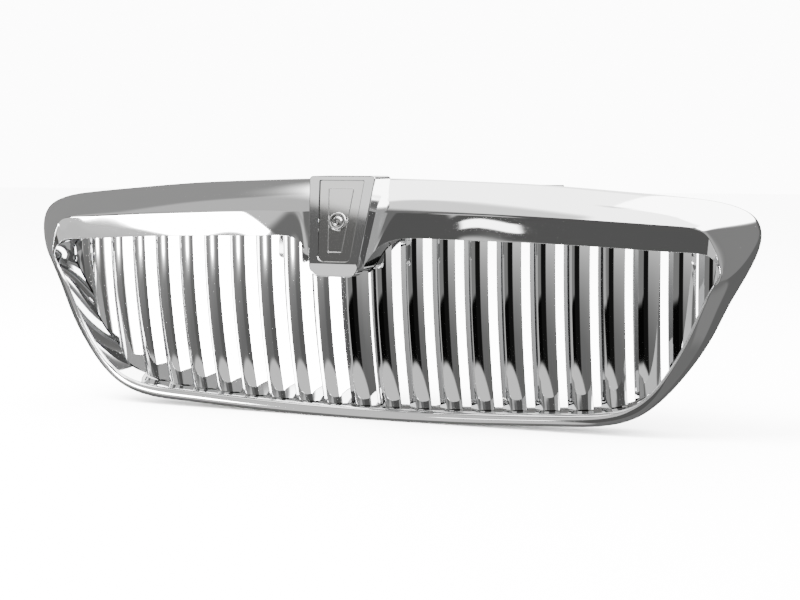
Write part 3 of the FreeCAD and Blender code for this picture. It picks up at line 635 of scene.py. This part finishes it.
def bump(tree, shader, height, strength, distance):
    node = tree.nodes.new("ShaderNodeBump")
    node.inputs["Strength"].default_value = strength
    node.inputs["Distance"].default_value = distance
    tree.links.new(height, node.inputs["Height"])
    tree.links.new(node.outputs["Normal"], shader.inputs["Normal"])


def chrome(name, colour, rough, wave):
    """Plated surface: faint cloudiness in gloss and colour, slight waviness of the moulding."""
    mat, tree, shader, place = node_material(name)
    shader.inputs["Metallic"].default_value = 1.0
    cloud = noise(tree, place, 14.0, 4.0)
    darker = tuple(c * 0.965 for c in colour)
    tree.links.new(blend_colour(tree, cloud, darker, colour), shader.inputs["Base Color"])
    fine = noise(tree, place, 420.0, 2.0)
    tree.links.new(ramp(tree, fine, rough * 0.7, rough * 1.3), shader.inputs["Roughness"])
    bump(tree, shader, noise(tree, place, 60.0, 1.0), wave, 0.00004)
    return mat


def metal(name, colour, rough, grain):
    mat, tree, shader, place = node_material(name)
    shader.inputs["Metallic"].default_value = 1.0
    spots = noise(tree, place, grain, 5.0)
    darker = tuple(c * 0.8 for c in colour)
    tree.links.new(blend_colour(tree, spots, darker, colour), shader.inputs["Base Color"])
    tree.links.new(ramp(tree, spots, rough * 0.7, rough * 1.4), shader.inputs["Roughness"])
    bump(tree, shader, spots, 0.3, 0.0001)
    return mat


def moulded(name, colour, rough, grain, strength):
    mat, tree, shader, place = node_material(name)
    cells = tree.nodes.new("ShaderNodeTexVoronoi")
    cells.inputs["Scale"].default_value = grain
    tree.links.new(place, cells.inputs["Vector"])
    cloud = noise(tree, place, 30.0, 4.0)
    darker = tuple(c * 0.75 for c in colour)
    tree.links.new(blend_colour(tree, cloud, darker, colour), shader.inputs["Base Color"])
    tree.links.new(ramp(tree, cloud, rough * 0.85, rough * 1.15), shader.inputs["Roughness"])
    bump(tree, shader, cells.outputs["Distance"], strength, 0.0002)
    return mat


def make_materials():
    return {
        "chrome_plated": chrome("chrome_plated", (0.93, 0.935, 0.94), 0.04, 0.2),
        "bar_chrome": chrome("bar_chrome", (0.93, 0.935, 0.94), 0.045, 0.2),
        "tablet_satin": chrome("tablet_satin", (0.93, 0.93, 0.92), 0.04, 0.1),
        "trim_bright": chrome("trim_bright", (0.97, 0.97, 0.97), 0.08, 0.2),
        "screw_steel": metal("screw_steel", (0.72, 0.72, 0.72), 0.16, 500.0),
        "carrier_black": moulded("carrier_black", (0.022, 0.022, 0.024), 0.55, 1400.0, 0.5),
        "zinc_screws": metal("zinc_screws", (0.66, 0.64, 0.55), 0.3, 700.0),
        "bracket_steel": moulded("bracket_steel", (0.03, 0.03, 0.033), 0.38, 900.0, 0.25),
        "spring_steel": metal("spring_steel", (0.24, 0.24, 0.25), 0.42, 600.0),
        "seal_rubber": moulded("seal_rubber", (0.02, 0.02, 0.02), 0.7, 1800.0, 0.5),
        "pin_nylon": moulded("pin_nylon", (0.7, 0.69, 0.64), 0.45, 1200.0, 0.2),
    }


# ------------------------------------------------------------------ studio

CAMERA_AT = (613.628, -1485.676, 86.371)
CAMERA_YAW, CAMERA_PITCH, CAMERA_ROLL = 0.357, -0.1, 0.001
FOCAL_PIXELS = 1382.53
SENSOR_MM = 36.0


def add_camera():
    data = bpy.data.cameras.new("camera")
    data.sensor_width = SENSOR_MM
    data.lens = FOCAL_PIXELS / 800 * SENSOR_MM
    data.clip_start = 0.01
    cam = bpy.data.objects.new("camera", data)
    bpy.context.scene.collection.objects.link(cam)
    turn = (Matrix.Rotation(CAMERA_YAW, 4, "Z") @ Matrix.Rotation(math.pi / 2 + CAMERA_PITCH, 4, "X")
            @ Matrix.Rotation(CAMERA_ROLL, 4, "Z"))
    cam.matrix_world = Matrix.Translation(Vector(world(CAMERA_AT))) @ turn
    bpy.context.scene.camera = cam


DOME_RADIUS = 6.0
POD_SKYLINE = 26.75    # elevation at which the light wall starts that the pod mirrors
WHITE = 250             # display level of the brightest panel


def emission_for(level):
    """Emission that a mirror shows as a given display level (0 to 255)."""
    share = np.clip(np.asarray(level, float), 0, 251) / 255
    return 0.225 * (share / (1 - share)) ** 1.22


def step(value, edge, width):
    """0 below edge, 1 above it, eased over width."""
    t = np.clip((value - edge) / width + 0.5, 0, 1)
    return t * t * (3 - 2 * t)


def panel(image, azimuth, elevation, az_range, el_range, level, blur=6.0):
    """Lays a studio panel over the image, in degrees; azimuth from the front, + to the right."""
    mask = step(azimuth, az_range[0], blur) * (1 - step(azimuth, az_range[1], blur))
    mask = mask * step(elevation, el_range[0], blur) * (1 - step(elevation, el_range[1], blur))
    return image + (level - image) * mask


def table_edge(azimuth):
    """Elevation of the front edge of the white table top, seen from the grille."""
    return -37.5 - 0.135 * (azimuth + 4)


def room(elevation):
    """Grey of the room behind the camera: lighter upwards."""
    return np.interp(elevation, (-36, -28, -20, -12, -4, 30), (103, 109, 129, 158, 190, 215))


def left_light(azimuth, elevation):
    """What the left-hand bars mirror."""
    image = np.interp(elevation, (-28, -24, -16, -8, -4), (110, 115, 132, 143, 152))
    centre = np.interp(elevation, (-28, -20, -12, -4), (93, 102, 116, 130))
    image = image + (centre - image) * step(azimuth, -24, 12)
    window = np.exp(-((azimuth + 36) / 17) ** 2) * step(elevation, -11.5, 9)
    image = image + (250 - image) * np.clip(window * 1.15, 0, 1)
    image = panel(image, azimuth, elevation, (10, 120), (-90, 20), WHITE, 5)
    table = step(-elevation, -table_edge(azimuth), 1.5) * (1 - step(azimuth, 12, 6))
    return image + (189 - image) * table


def right_light(azimuth, elevation):
    """What the middle and right-hand bars mirror."""
    image = room(elevation)
    image = panel(image, azimuth, elevation, (-66, -28), (-17.5, 40), 124, 3)
    image = panel(image, azimuth, elevation, (-180, -62), (-90, 60), 171, 4)
    image = panel(image, azimuth, elevation, (-66, -20), (-90, -17.5), 7, 2)
    image = panel(image, azimuth, elevation, (-29, 0), (-90, 40), 18, 5)
    table = step(-elevation, -table_edge(azimuth), 1.5)
    return image + (190 - image) * table


def surround_light(azimuth, elevation):
    """What the surround, the pod and the small pieces mirror."""
    image = np.full(azimuth.shape, 112.0)
    layers = (
        # azimuth range, elevation range, display level, blur (degrees); later ones lie on top
        ((-150, -62), (-8, 62), 148, 6),
        ((-78, -35), (36, 62), 180, 6),
        ((-200, -146), (4, 62), 230, 6),
        ((-180, -132), (-10, 9), 120, 6),
        ((-90, -66), (-40, -14), 160, 6),
        ((-68, -44), (-42, -14), 192, 6),
        ((-46, -15), (-50, 36), 188, 6),
        ((-15, 24), (-55, 60), 86, 6),
        ((-48, -31), (-28, -14), 252, 2),
        ((-28, -9), (-16, 12), 188, 2),
        ((-60, -10), (-75, -31), 188, 3),
        ((-17.5, -10.2), (-26, -21), 240, 1),
        ((24, 60), (-12, 50), 165, 6),
        ((60, 100), (-35, 30), 130, 6),
        ((100, 180), (-60, 24), 100, 6),
        ((48, 200), (28, 91), 244, 6),
        ((-200, 60), (60, 91), 236, 6),
        ((-45, -5), (56, 72), 208, 6),
    )
    for az_range, el_range, level, blur in layers:
        image = panel(image, azimuth, elevation, az_range, el_range, level, blur)
    return image


def pod_light(azimuth, elevation):
    """What the pod, its tablet and the badge mirror: a light wall over a dark one."""
    image = surround_light(azimuth, elevation)
    image = panel(image, azimuth, elevation, (-42, -12), (2, 45), 98, 3)
    image = panel(image, azimuth, elevation, (-42, -12), (POD_SKYLINE, 45), 207, 0.25)
    return panel(image, azimuth, elevation, (-42, -12), (-24, 2), 200, 4)


def add_dome(name, light, receivers, radius):
    """Surroundings mirrored by some of the pieces: a far dome of light and dark panels.

    The levels are rounded from the brightness that the chrome mirrors at the main view.
    Each group of pieces has a room of its own, so this isn't one plain studio.
    """
    cols, rows = 721, 361
    az = np.radians(np.linspace(-180, 180, cols))
    el = np.radians(np.linspace(-90, 90, rows))
    turn, climb = np.meshgrid(az, el)
    level = np.cos(climb)
    verts = np.stack([np.sin(turn) * level, -np.cos(turn) * level, np.sin(climb)], axis=-1)
    value = emission_for(light(np.degrees(turn), np.degrees(climb)))
    mesh = bpy.data.meshes.new(name)
    mesh.from_pydata((verts * radius).reshape(-1, 3).tolist(), [], grid_faces(rows, cols))
    layer = mesh.color_attributes.new("light", "FLOAT_COLOR", "POINT")
    colour = np.ones((rows * cols, 4))
    colour[:, :3] = value.reshape(-1, 1) * np.array((1.0, 0.995, 0.985))
    layer.data.foreach_set("color", colour.ravel())
    obj = bpy.data.objects.new(name, mesh)
    bpy.context.scene.collection.objects.link(obj)
    mat = bpy.data.materials.new(name)
    mat.use_nodes = True
    tree = mat.node_tree
    tree.nodes.clear()
    read = tree.nodes.new("ShaderNodeVertexColor")
    read.layer_name = "light"
    emit = tree.nodes.new("ShaderNodeEmission")
    clear = tree.nodes.new("ShaderNodeBsdfTransparent")
    both = tree.nodes.new("ShaderNodeAddShader")
    out = tree.nodes.new("ShaderNodeOutputMaterial")
    tree.links.new(read.outputs["Color"], emit.inputs["Color"])
    tree.links.new(emit.outputs["Emission"], both.inputs[0])
    tree.links.new(clear.outputs["BSDF"], both.inputs[1])
    tree.links.new(both.outputs["Shader"], out.inputs["Surface"])
    mat.cycles.emission_sampling = "NONE"
    mesh.materials.append(mat)
    obj.visible_camera = False
    obj.visible_diffuse = False
    obj.visible_shadow = False
    obj.visible_transmission = False
    lit = bpy.data.collections.new(name + "_lights")
    for piece in receivers:
        lit.objects.link(piece)
    obj.light_linking.receiver_collection = lit


def add_floor():
    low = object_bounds()[0][2]
    size = 12.0
    mesh = bpy.data.meshes.new("floor")
    corners = [(-size, -size, low), (size, -size, low), (size, size, low), (-size, size, low)]
    mesh.from_pydata(corners, [], [(0, 1, 2, 3)])
    obj = bpy.data.objects.new("floor", mesh)
    bpy.context.scene.collection.objects.link(obj)
    mat, tree, shader, place = node_material("floor")
    cloud = noise(tree, place, 3.0)
    pale = blend_colour(tree, cloud, (0.93, 0.93, 0.93), (0.96, 0.96, 0.96))
    tree.links.new(pale, shader.inputs["Base Color"])
    shader.inputs["Roughness"].default_value = 0.9
    mesh.materials.append(mat)
    obj.visible_glossy = False


WORLD_STRENGTH = 12.0
KEY_POWER = 700.0


def add_light():
    world_data = bpy.data.worlds.new("studio")
    world_data.use_nodes = True
    world_data.node_tree.nodes["Background"].inputs["Color"].default_value = (1, 1, 1, 1)
    world_data.node_tree.nodes["Background"].inputs["Strength"].default_value = WORLD_STRENGTH
    world_data.cycles_visibility.glossy = False
    bpy.context.scene.world = world_data
    data = bpy.data.lights.new("key", "AREA")
    data.size = 1.6
    data.energy = KEY_POWER
    key = bpy.data.objects.new("key", data)
    bpy.context.scene.collection.objects.link(key)
    key.location = (-1.2, -1.0, 2.2)
    key.rotation_euler = (Vector((0, 0, -0.1)) - key.location).to_track_quat("-Z", "Y").to_euler()
    key.visible_glossy = False


# ------------------------------------------------------------------ assembly

materials = make_materials()
pieces = [build_surround()]
pieces += [build_bar(i) for i in range(-BARS_EACH_SIDE, BARS_EACH_SIDE + 1)]
pieces += [build_pod(pieces[0]), build_tablet(), build_trim(), build_badge_ring(), build_badge_screw()]
slot_of = {row["node"]: row["material_slot"] for row in frame["record"]["subparts"]}
replaced = {"surround_frame", "emblem_pod", "emblem_tablet", "tablet_trim", "badge_ring", "badge_screw"}
replaced |= {"bar_%02d" % (i + 1) for i in range(2 * BARS_EACH_SIDE + 1)}
piece_slots = ["chrome_plated"] + ["bar_chrome"] * (2 * BARS_EACH_SIDE + 1)
piece_slots += ["chrome_plated", "tablet_satin", "trim_bright", "trim_bright", "screw_steel"]
for piece, slot_name in zip(pieces, piece_slots):
    piece.data.materials.append(materials[slot_name])
for node, obj in frame["nodes"].items():
    if node not in replaced:
        obj.data.materials.clear()
        obj.data.materials.append(materials[slot_of[node]])

bars = pieces[1:2 + 2 * BARS_EACH_SIDE]
carried_over = [obj for node, obj in frame["nodes"].items() if node not in replaced]
centre = pieces[2 + 2 * BARS_EACH_SIDE:]
others = [pieces[0]] + carried_over
add_floor()
add_dome("left_room", left_light, bars[:BARS_EACH_SIDE], DOME_RADIUS)
add_dome("right_room", right_light, bars[BARS_EACH_SIDE:], DOME_RADIUS + 0.1)
add_dome("surround_room", surround_light, others, DOME_RADIUS + 0.2)
add_dome("pod_room", pod_light, centre, DOME_RADIUS + 0.3)
add_light()
add_camera()
